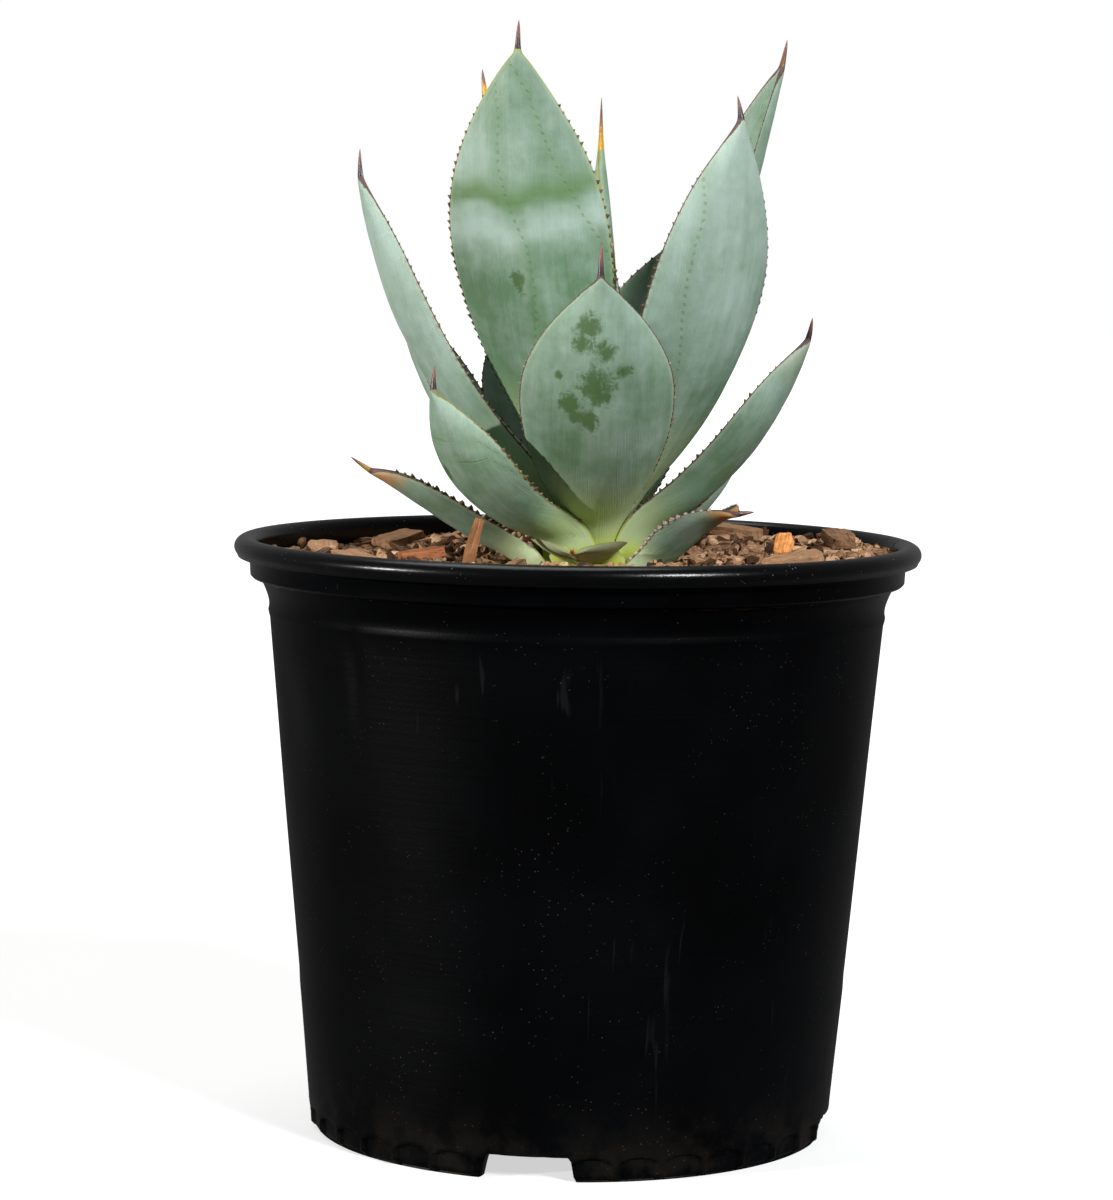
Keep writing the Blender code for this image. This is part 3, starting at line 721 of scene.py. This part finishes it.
def makeLeaf(node, seed):
    look = {**plainLeaf, **leafLooks.get(node, {})}
    rng = random.Random(seed)
    rings, tip = leafRings(node)
    count = len(rings[0])
    half = count // 2
    blade = len(rings) - 2      # the last ring of the blade; one more ring is on the spine
    centres = [sum(ring, Vector()) / count for ring in rings] + [tip]
    travelled = [0.0]
    for a, b in zip(centres, centres[1:]):
        travelled.append(travelled[-1] + (b - a).length)
    bladeLength = travelled[blade]
    spineLength = travelled[-1] - bladeLength

    verts = [p for ring in rings for p in ring] + [tip]
    faces = [tuple(range(count))]
    for r in range(len(rings) - 1):
        for i in range(count):
            j = (i + 1) % count
            faces.append((r * count + i, (r + 1) * count + i, (r + 1) * count + j, r * count + j))
    last = (len(rings) - 1) * count
    faces += [(last + i, len(verts) - 1, last + (i + 1) % count) for i in range(count)]
    leaf = newMeshObject("leaf_" + node.replace("_leaf", ""), verts, faces)
    with EditMode():
        bpy.ops.mesh.normals_make_consistent(inside=False)

    inner = [-1.0, -0.68, -0.34, 0.0, 0.34, 0.68, 1.0]
    columns = inner + inner[-2:0:-1]
    sides = [0.5] + [0.0] * (half - 1) + [0.5] + [1.0] * (half - 1)
    halfMm = []
    for ring in rings:
        halfMm.append(sum((a - b).length for a, b in zip(ring[:half], ring[1:half + 1])) / 2 / mm)
    setAttribute(leaf, "across", columns * len(rings) + [0.0])
    setAttribute(leaf, "side", sides * len(rings) + [0.5])
    # these have one value for each ring, and one for the tip
    for name, values in (
        ("halfMm", halfMm + halfMm[-1:]),
        ("along", [t / bladeLength for t in travelled]),
        ("alongMm", [t / mm for t in travelled]),
        ("spine", [max(t - bladeLength, 0.0) / spineLength for t in travelled]),
    ):
        setAttribute(leaf, name, [v for v in values[:-1] for _ in range(count)] + values[-1:])

    crease = leaf.data.attributes.new("crease_edge", "FLOAT", "EDGE")
    for edge in leaf.data.edges:
        a, b = sorted(edge.vertices)
        sameColumn = b - a == count and b < len(verts) - 1
        if sameColumn and a % count in (0, half) and a // count < blade:
            edge.use_seam = True
            crease.data[edge.index].value = 0.85
        if b < count and (b - a == 1 or b - a == count - 1):
            crease.data[edge.index].value = 0.9
    subdivided(leaf, 3)

    # soft swelling, which fades out at the margins, and a keel on the outer face
    co = points(leaf)
    out = normals(leaf)
    across = getAttribute(leaf, "across")
    along = getAttribute(leaf, "along")
    side = getAttribute(leaf, "side")
    onBlade = smooth(along, 0.04, 0.15) * smooth(along, 0.99, 0.90)
    swell = 0.32 * noiseAt(co, 0.022, seed) + 0.10 * noiseAt(co, 0.006, seed + 0.5)
    keel = look["keel"] * 0.9 * np.exp(-(across / 0.085) ** 2) * (side > 0.6)
    keel *= smooth(along, 0.02, 0.2) * smooth(along, 0.97, 0.7)
    co += out * ((swell * onBlade * (1 - np.abs(across) ** 4) + keel) * mm)[:, None]
    movePoints(leaf, co)
    paintLeaf(leaf, look, seed)
    leaf.data.materials.append(skin)
    softShade(leaf, 70)
    addTeeth(leaf, look, rng)
    crease = leaf.data.attributes.get("crease_edge")
    if crease:
        leaf.data.attributes.remove(crease)
    return finished(leaf, "leaf", node)


leafNodes = [part["node"] for part in frame["record"]["subparts"] if part["node"].endswith("_leaf")]
leaves = [makeLeaf(node, seed) for seed, node in enumerate(leafNodes)]
print("leaves:", len(leaves))


budLook = {
    "body": 0.865,      # the share of the height below the spine
    "step": 0.7,        # mm, the edge of the outermost furled leaf
    "paint": {
        "across": 0.0, "side": 1.0, "band": 0.0, "worn": 0.0, "printA": 50.0, "printB": 50.0, "bloom": 0.3,
        "limeMargin": 0.7, "pale": 0.0, "baseEnd": 0.42, "amber": 1.0, "dry": 0.0, "seed": 77.0,
    },
}


def makeBud():
    bud = copyNode("centre_bud", "bud_furled_leaves")
    subdivided(bud, 3)
    low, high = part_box("centre_bud")
    axis = (low + high) / 2
    co = points(bud)
    share = (co[:, 2] - low.z) / (high.z - low.z)
    body = budLook["body"]
    angle = np.arctan2(co[:, 1] - axis.y, co[:, 0] - axis.x)
    radius = np.hypot(co[:, 1] - axis.y, co[:, 0] - axis.x)
    # the outermost furled leaf ends in a step that winds up round the spindle
    wind = (angle / (2 * math.pi) + 0.35 + share * 1.15) % 1.0
    step = budLook["step"] * (1.0 - wind) * smooth(share, 0.97, 0.75) * smooth(wind, 0.0, 0.03)
    spread = 1.0 + step * mm / np.maximum(radius, 1e-4)
    spread[radius < 1e-4] = 1.0
    co[:, 0] = axis.x + (co[:, 0] - axis.x) * spread
    co[:, 1] = axis.y + (co[:, 1] - axis.y) * spread
    movePoints(bud, co)
    fromStep = np.minimum(wind, 1.0 - wind) * 2 * math.pi * np.maximum(radius, 1e-4) / mm
    spine = np.maximum(share - body, 0.0) / (1.0 - body)
    for name, values in (("along", share / body), ("alongMm", share * 180.0), ("crossMm", angle * 8.0),
                         ("edgeMm", fromStep + 0.25), ("spine", spine)):
        setAttribute(bud, name, values)
    for name, value in budLook["paint"].items():
        setAttribute(bud, name, np.full(len(co), value))
    bud.data.materials.append(skin)
    softShade(bud, 60)
    return finished(bud, "bud", "centre_bud")


bud = makeBud()
frame["nodes"]["stem"].data.materials.clear()
frame["nodes"]["stem"].data.materials.append(stemSkin())
print("bud and stem done")


pot = {
    "lipWidth": 9.5, "lipHeight": 8.5,      # mm, as the rest of this dictionary
    "flangeRadius": 133.2, "flangeBottom": 224.5,
    "shoulderTop": 128.6, "shoulderRadius": 124.8, "shoulderBottom": 211.0,
    "footRadius": 107.0, "footHeight": 13.0, "skirtWall": 3.4, "wall": 2.0,
    "floorBottom": 10.6, "floorThickness": 2.2,
    "flutes": 36, "columnsPerFlute": 16, "fluteDepth": 1.5, "archHeight": 9.6,
    "notchAzimuth": -98.0, "notchWidth": 36.0, "notchHeight": 10.0,
    # soft dents in the wall: azimuth, height, half width, half height, depth
    "dents": (
        (-133.5, 196.0, 1.6, 16.0, 1.1), (-159.0, 172.0, 9.0, 22.0, 1.6), (-36.0, 156.0, 10.0, 26.0, 1.5),
        (-80.0, 90.0, 16.0, 30.0, 0.9), (60.0, 120.0, 14.0, 34.0, 1.4), (140.0, 70.0, 12.0, 26.0, 1.2),
    ),
}


def arcPoints(centre, radii, start, end, count):
    out = []
    for i in range(count):
        angle = math.radians(start + (end - start) * i / (count - 1))
        out.append((centre[0] + radii[0] * math.cos(angle), centre[1] + radii[1] * math.sin(angle)))
    return out


def potProfile(rimRadius, height):
    # the wall's closed section in mm, down the outside and back up the inside
    p = pot
    flange, flangeBottom = p["flangeRadius"], p["flangeBottom"]
    shoulder, shoulderBottom = p["shoulderRadius"], p["shoulderBottom"]
    foot, footHeight, floor = p["footRadius"], p["footHeight"], p["floorBottom"]
    lipCentre = (rimRadius - p["lipWidth"] / 2, height - p["lipHeight"] / 2)
    lipBottom = height - p["lipHeight"]
    outline = arcPoints(lipCentre, (p["lipWidth"] / 2, p["lipHeight"] / 2), 180, -38, 22)
    outline += [
        (rimRadius - 1.5, lipBottom + 0.5), (rimRadius - 2.6, lipBottom + 0.1),
        (flange + 1.8, lipBottom + 0.2), (flange + 0.5, lipBottom - 0.5), (flange, lipBottom - 1.8),
        (flange - 0.3, flangeBottom + 0.8), (flange - 1.0, flangeBottom),
    ]
    drop = flangeBottom - 1.0 - shoulderBottom
    for i in range(9):
        share = i / 8
        radius = p["shoulderTop"] + (shoulder - p["shoulderTop"]) * math.sin(share * math.pi / 2)
        outline.append((radius + 0.7 * share ** 6, flangeBottom - 1.0 - drop * share))
    outline.append((shoulder + 0.5, shoulderBottom - 1.2))
    top = shoulderBottom - 3.0
    for i in range(31):
        share = i / 30
        outline.append((shoulder + (foot - shoulder) * share, top + (footHeight - top) * share))
    for i in range(1, 17):
        z = footHeight * (1 - i / 16)
        tuck = 2.6 * max(0.0, 1 - z / 3.0) ** 2
        outline.append((foot - 0.06 * (footHeight - z) - tuck, max(z, 0.0)))
    skirt = outline[-1][0] - p["skirtWall"]
    outline += [(skirt + 0.8, 0.0), (skirt, 0.8), (skirt, 4.0), (skirt, 7.0), (skirt, floor)]
    outline.append((foot * 0.5, floor))
    wall, floorTop = p["wall"], floor + p["floorThickness"]
    inside = [
        (foot * 0.5, floorTop), (foot - wall - 2.0, floorTop), (foot - wall + 0.4, floor + 6.0),
        (shoulder - wall, shoulderBottom - 1.0), (p["shoulderTop"] - wall, flangeBottom - 3.0),
        (rimRadius - p["lipWidth"], flangeBottom + 1.0), (rimRadius - p["lipWidth"], lipBottom),
    ]
    return outline, inside


def makePot():
    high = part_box("nursery_pot")[1]
    outline, inside = potProfile(high.x / mm, high.z / mm)
    loop = outline + inside
    section = [(r * mm, 0.0, z * mm) for r, z in loop]
    # the floor is closed by two discs, so the section runs from one to the other
    seam = len(outline) - 1
    edges = [(i, (i + 1) % len(loop)) for i in range(len(loop)) if i != seam]
    body = newMeshObject("pot_black_nursery", section, [], edges)
    columns = pot["flutes"] * pot["columnsPerFlute"]
    with EditMode():
        bpy.ops.mesh.spin(steps=columns, angle=2 * math.pi, center=(0, 0, 0), axis=(0, 0, 1))
        bpy.ops.mesh.select_all(action="SELECT")
        bpy.ops.mesh.remove_doubles(threshold=1e-5)
        bpy.ops.mesh.select_all(action="DESELECT")
        bpy.ops.mesh.select_non_manifold()
        bpy.ops.mesh.edge_face_add()
        bpy.ops.mesh.select_all(action="SELECT")
        bpy.ops.mesh.normals_make_consistent(inside=False)

    co = points(body) / mm
    radius = np.hypot(co[:, 0], co[:, 1])
    angle = np.degrees(np.arctan2(co[:, 1], co[:, 0]))
    z = co[:, 2].copy()
    newRadius = radius.copy()
    outer = radius > pot["footRadius"] - 3.2
    # arched flutes round the foot, with thin ribs between them
    pitch = 360.0 / pot["flutes"]
    t = ((angle / pitch) % 1.0) - 0.5
    dome = np.sqrt(np.clip(1.0 - (t / 0.44) ** 2, 0.0, 1.0))
    archTop = pot["archHeight"] - 3.6 + 3.6 * dome
    inArch = smooth(z, archTop + 0.5, archTop - 0.5) * smooth(np.abs(t), 0.46, 0.40)
    foot = outer & (z < pot["footHeight"] + 0.1)
    newRadius[foot] -= pot["fluteDepth"] * inArch[foot]
    cusp = np.exp(-((np.abs(t) - 0.5) / 0.06) ** 2)
    edge = foot & (z < 2.6)
    z[edge] += 1.3 * cusp[edge] * (1 - z[edge] / 2.6)
    # drain notches
    for i in range(4):
        turn = (angle - pot["notchAzimuth"] - 90.0 * i + 180.0) % 360.0 - 180.0
        arc = np.radians(turn) * pot["footRadius"]
        slant = np.where(arc < 0, arc / (pot["notchWidth"] / 2 + 2.5), arc / (pot["notchWidth"] / 2))
        reach = pot["notchHeight"] * smooth(np.abs(slant), 1.0, 0.86)
        under = (radius > pot["footRadius"] - 9.0) & (np.abs(turn) < 14.0) & (z < pot["notchHeight"])
        z[under] = np.maximum(z[under], reach[under] + 0.02 * z[under])
    # soft dents
    wall = (z > pot["footHeight"]) & (z < pot["shoulderBottom"]) & (radius > 60)
    for azimuth, level, halfWidth, halfHeight, depth in pot["dents"]:
        turn = (angle - azimuth + 180.0) % 360.0 - 180.0
        newRadius[wall] -= (depth * np.exp(-(turn / halfWidth) ** 2 - ((z - level) / halfHeight) ** 2))[wall]
    ripple = 0.22 * np.sin(np.radians(angle) * 3 + 0.7) + 0.12 * np.sin(np.radians(angle) * 7 + z * 0.03)
    newRadius[radius > 60] += (ripple * smooth(z, 0.0, 60.0))[radius > 60] - 0.3 * (z[radius > 60] > 60)
    ratio = newRadius / np.maximum(radius, 1e-6)
    co[:, 0] *= ratio
    co[:, 1] *= ratio
    co[:, 2] = z
    movePoints(body, co * mm)
    body.data.materials.append(plastic)
    softShade(body, 35)
    return finished(body, "pot_plastic", "nursery_pot")


makePot()
print("pot done")


mulch = {
    "coarse": 150, "medium": 1500, "fine": 3200,
    "seed": 11, "shapes": 9,
    # mm kept under the leaves, from the wall and round the root crown
    "clearance": 1.2, "wallGap": 2.5, "crownGap": 4.0,
    # lengths, widths and heights in mm, and the share of a piece that is sunk
    "sizes": (
        ("coarse", (9, 21), (3.4, 8), (2.2, 4.6), 0.30),
        ("medium", (3.5, 9), (2.2, 5), (1.8, 3.8), 0.30),
        ("fine", (1.5, 4), (1.2, 2.6), (1.0, 2.2), 0.2),
    ),
}


def rayHeight(tree, x, y):
    place = tree.ray_cast(Vector((x, y, 0.5)), Vector((0, 0, -1)))[0]
    return place.z if place else None


def treeOf(objects):
    verts = []
    faces = []
    for obj in objects:
        start = len(verts)
        verts += [Vector(p) for p in points(obj)]
        faces += [[i + start for i in face.vertices] for face in obj.data.polygons]
    return BVHTree.FromPolygons(verts, faces)


def makeMix():
    mix = copyNode("potting_mix", "mix_surface")
    bpy.ops.object.mode_set(mode="EDIT")
    bpy.ops.mesh.select_all(action="DESELECT")
    bpy.ops.object.mode_set(mode="OBJECT")
    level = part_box("potting_mix")[1].z - 0.014
    for face in mix.data.polygons:
        face.select = face.normal.z > 0.5 and face.center.z > level
    bpy.ops.object.mode_set(mode="EDIT")
    bpy.ops.mesh.subdivide(number_cuts=7)
    bpy.ops.object.mode_set(mode="OBJECT")
    co = points(mix)
    radius = np.hypot(co[:, 0], co[:, 1])
    free = smooth(radius, 0.1285, 0.122) * (co[:, 2] > level) * (normals(mix)[:, 2] > 0.4)
    bumps = 1.5 * noiseAt(co, 0.012, 2) + 0.8 * noiseAt(co, 0.005, 3) - 1.2
    co[:, 2] += bumps * free * mm
    movePoints(mix, co)
    setAttribute(mix, "tone", np.full(len(co), 0.12))
    setAttribute(mix, "fibre", co * 900)
    mix.data.materials.append(bark)
    softShade(mix, 60)
    return finished(mix, "potting_mix", "potting_mix")


def makeFlakes(count, seed):
    # a few split flakes of bark of about unit size, to be scaled: X is the way the fibres run
    flakes = []
    for i in range(count):
        rng = random.Random(seed + i)
        bpy.ops.object.select_all(action="DESELECT")
        bpy.ops.mesh.primitive_cube_add(size=1.0)
        flake = bpy.context.active_object
        with EditMode():
            bpy.ops.mesh.subdivide(number_cuts=1, fractal=0.8, fractal_along_normal=0.3, seed=seed + i)
        co = points(flake)
        co *= 1.0 - 0.35 * rng.random() * (np.linalg.norm(co, axis=1, keepdims=True) / 0.87) ** 2
        co += 0.10 * np.array([rng.uniform(-1, 1) for _ in range(co.size)]).reshape(co.shape)
        taper = 1.0 - (0.25 + 0.45 * rng.random()) * np.abs(co[:, 0]) * 2 * rng.random()
        co[:, 1] *= taper
        co[:, 2] *= 0.6 + 0.4 * taper
        co[:, 2] += 0.25 * rng.random() * co[:, 0] ** 2
        flakes.append((co, [tuple(p.vertices) for p in flake.data.polygons]))
        bpy.data.objects.remove(flake)
    return flakes


def scatterBark(mixTree, leafTree, heroTree):
    rng = random.Random(mulch["seed"])
    flakes = makeFlakes(mulch["shapes"], 40)
    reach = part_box("potting_mix")[1].x - mulch["wallGap"] * mm
    low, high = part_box("stem")
    axis = (low + high) / 2
    crown = high.x - axis.x + mulch["crownGap"] * mm
    groups = {}
    for kind, lengths, widths, heights, sink in mulch["sizes"]:
        copies = []
        tries = 0
        while len(copies) < mulch[kind] and tries < mulch[kind] * 6:
            tries += 1
            radius = reach * math.sqrt(rng.random())
            angle = 2 * math.pi * rng.random()
            x, y = radius * math.cos(angle), radius * math.sin(angle)
            length = rng.uniform(*lengths) * mm
            if math.hypot(x - axis.x, y - axis.y) < crown or radius + length * 0.42 > reach + 0.001:
                continue
            ground = rayHeight(mixTree, x, y)
            if ground is None:
                continue
            height = rng.uniform(*heights) * mm
            lift = height * (rng.random() * 0.4 if kind == "coarse" else rng.choice((0.0, 0.0, 0.3, 0.8)))
            centre = Vector((x, y, ground + height * (0.5 - sink) + lift))
            above = leafTree.ray_cast(Vector((x, y, ground - 0.004)), Vector((0, 0, 1)))[0]
            if above and above.z < centre.z + height * 0.5 + length * 0.22 + mulch["clearance"] * mm:
                continue
            if heroTree.find_nearest(centre, length * 0.4)[0] is not None:
                continue
            shape, faces = rng.choice(flakes)
            turn = Matrix.Rotation(rng.random() * 2 * math.pi, 3, "Z")
            tilt = Matrix.Rotation(rng.gauss(0, 0.30), 3, "Y") @ Matrix.Rotation(rng.gauss(0, 0.45), 3, "X")
            scale = np.array((length, rng.uniform(*widths) * mm, height))
            placed = (shape * scale) @ np.array(turn @ tilt).T + np.array(centre)
            tone = min(max(rng.gauss(0.44, 0.27), 0.0), 1.0)
            fibre = shape * scale / mm + rng.random() * 40
            copies.append((placed, faces, {"tone": tone, "fibre": fibre}))
        groups[kind] = copies
    for name, kinds in (("bark_coarse", ("coarse",)), ("bark_fine", ("medium", "fine"))):
        joined = sum((groups[kind] for kind in kinds), [])
        obj = scatterMesh(name, joined)
        obj.data.materials.append(bark)
        softShade(obj, 25)
        finished(obj, "bark")
        print(name, len(joined))


def makeHeroChip(node, tint, tone):
    chip = copyNode(node, "bark_" + node.replace("_chip", ""))
    applyModifier(chip, "BEVEL", width=0.0007, segments=2, limit_method="ANGLE")
    with EditMode():
        bpy.ops.mesh.subdivide(number_cuts=4, smoothness=0.3)
    co = points(chip)
    middle = co.mean(axis=0)
    _, _, axes = np.linalg.svd(co - middle, full_matrices=False)
    local = (co - middle) @ axes.T
    splits = noiseAt(local * (0.25, 2.2, 2.2), 0.006, len(node))
    co += normals(chip) * ((0.75 * splits + 0.35 * noiseAt(co, 0.004, 9)) * mm)[:, None]
    movePoints(chip, co)
    setAttribute(chip, "tone", np.full(len(co), tone))
    setAttribute(chip, "fibre", local / mm)
    chip.data.materials.append(barkSkin("bark_" + node, tint))
    softShade(chip, 35)
    return finished(chip, "bark", node)


# the loose pieces whose colour differs: a tint of the bark's colours, and a tone from dark to light
heroTints = {
    "red_chip": ((1.20, 0.80, 0.62), 0.40),
    "orange_chip": ((1.9, 1.25, 0.66), 0.72),
    "upright_stick": ((0.95, 0.78, 0.62), 0.5),
}
chipNodes = [p["node"] for p in frame["record"]["subparts"] if p["material_slot"] == "bark"]
heroes = []
for index, node in enumerate(chipNodes):
    tint, tone = heroTints.get(node, ((1.0, 1.0, 1.0), 0.35 + 0.05 * (index % 5)))
    heroes.append(makeHeroChip(node, tint, tone))
mixSurface = makeMix()
scatterBark(treeOf([mixSurface]), treeOf(leaves), treeOf(heroes))
print("potting mix done")


studio = {
    "floorRadius": 14.0, "floorGlow": 0.62,
    # suns: the azimuth and height of each in degrees, its strength, and its softness in degrees
    "key": (204.0, 11.0, 3.5, 2.0), "side": (308.0, 30.0, 4.1, 12.0), "top": (120.0, 74.0, 1.4, 40.0),
    "skyFront": 0.11, "skyBack": 0.20,
    "lens": 114.84, "cameraPlace": (0.0, -1.55, 0.360), "pitch": -5.33, "yaw": -0.30, "roll": 0.85,
}


def makeFloor():
    bpy.ops.object.select_all(action="DESELECT")
    bpy.ops.mesh.primitive_circle_add(vertices=96, radius=studio["floorRadius"], fill_type="NGON")
    floor = bpy.context.active_object
    floor.name = "floor"
    s = Shader("pale_floor")
    soft = s.cloud(s.place(), 3.0, 2.0)
    s.set(Base_Color=s.mix(soft, (0.46, 0.46, 0.46), (0.48, 0.48, 0.48)), Roughness=0.9)
    s.set(Specular_IOR_Level=0.0, Emission_Color=(1.0, 1.0, 1.0), Emission_Strength=studio["floorGlow"])
    floor.data.materials.append(s.block)
    # the floor catches shadows, and throws no light back up at the leaves and the pot
    floor.visible_diffuse = False
    floor.visible_glossy = False


def addSun(name, colour=(1.0, 1.0, 1.0)):
    azimuth, height, strength, softness = studio[name]
    azimuth, height = math.radians(azimuth), math.radians(height)
    data = bpy.data.lights.new(name, "SUN")
    data.energy = strength
    data.angle = math.radians(softness)
    data.color = colour
    light = bpy.data.objects.new(name, data)
    flat = math.cos(height)
    source = Vector((math.cos(azimuth) * flat, math.sin(azimuth) * flat, math.sin(height)))
    light.location = source * 3
    light.rotation_euler = (-source).to_track_quat("-Z", "Y").to_euler()
    bpy.context.scene.collection.objects.link(light)


def makeStudio():
    makeFloor()
    addSun("key", (1.0, 0.985, 0.95))
    addSun("side", (0.96, 0.98, 1.0))
    addSun("top")
    # white behind the object for the eye; the light it gives is dim in front and bright behind
    s = Shader("studio", bpy.data.worlds, "Background")
    bpy.context.scene.world = s.block
    split = s.add("ShaderNodeSeparateXYZ")
    s.put(split.inputs[0], s.add("ShaderNodeTexCoord").outputs["Generated"])
    level = s.add("ShaderNodeMapRange")
    s.fill(level, Value=split.outputs[1], From_Min=-0.3, From_Max=0.8)
    s.fill(level, To_Min=studio["skyFront"], To_Max=studio["skyBack"])
    seen = s.add("ShaderNodeLightPath").outputs["Is Camera Ray"]
    s.set(Color=(1.0, 1.0, 1.0), Strength=s.calc("MAXIMUM", seen, level.outputs[0]))
    data = bpy.data.cameras.new("camera")
    data.lens = studio["lens"]
    data.sensor_width = 36.0
    data.clip_start = 0.05
    camera = bpy.data.objects.new("camera", data)
    turn = Matrix.Rotation(math.radians(-studio["yaw"]), 4, "Z")
    turn = turn @ Matrix.Rotation(math.radians(90.0 + studio["pitch"]), 4, "X")
    turn = turn @ Matrix.Rotation(math.radians(studio["roll"]), 4, "Z")
    camera.matrix_world = Matrix.Translation(studio["cameraPlace"]) @ turn
    bpy.context.scene.collection.objects.link(camera)
    bpy.context.scene.camera = camera
    bpy.context.scene.view_settings.view_transform = "Standard"


makeStudio()
print("studio done")
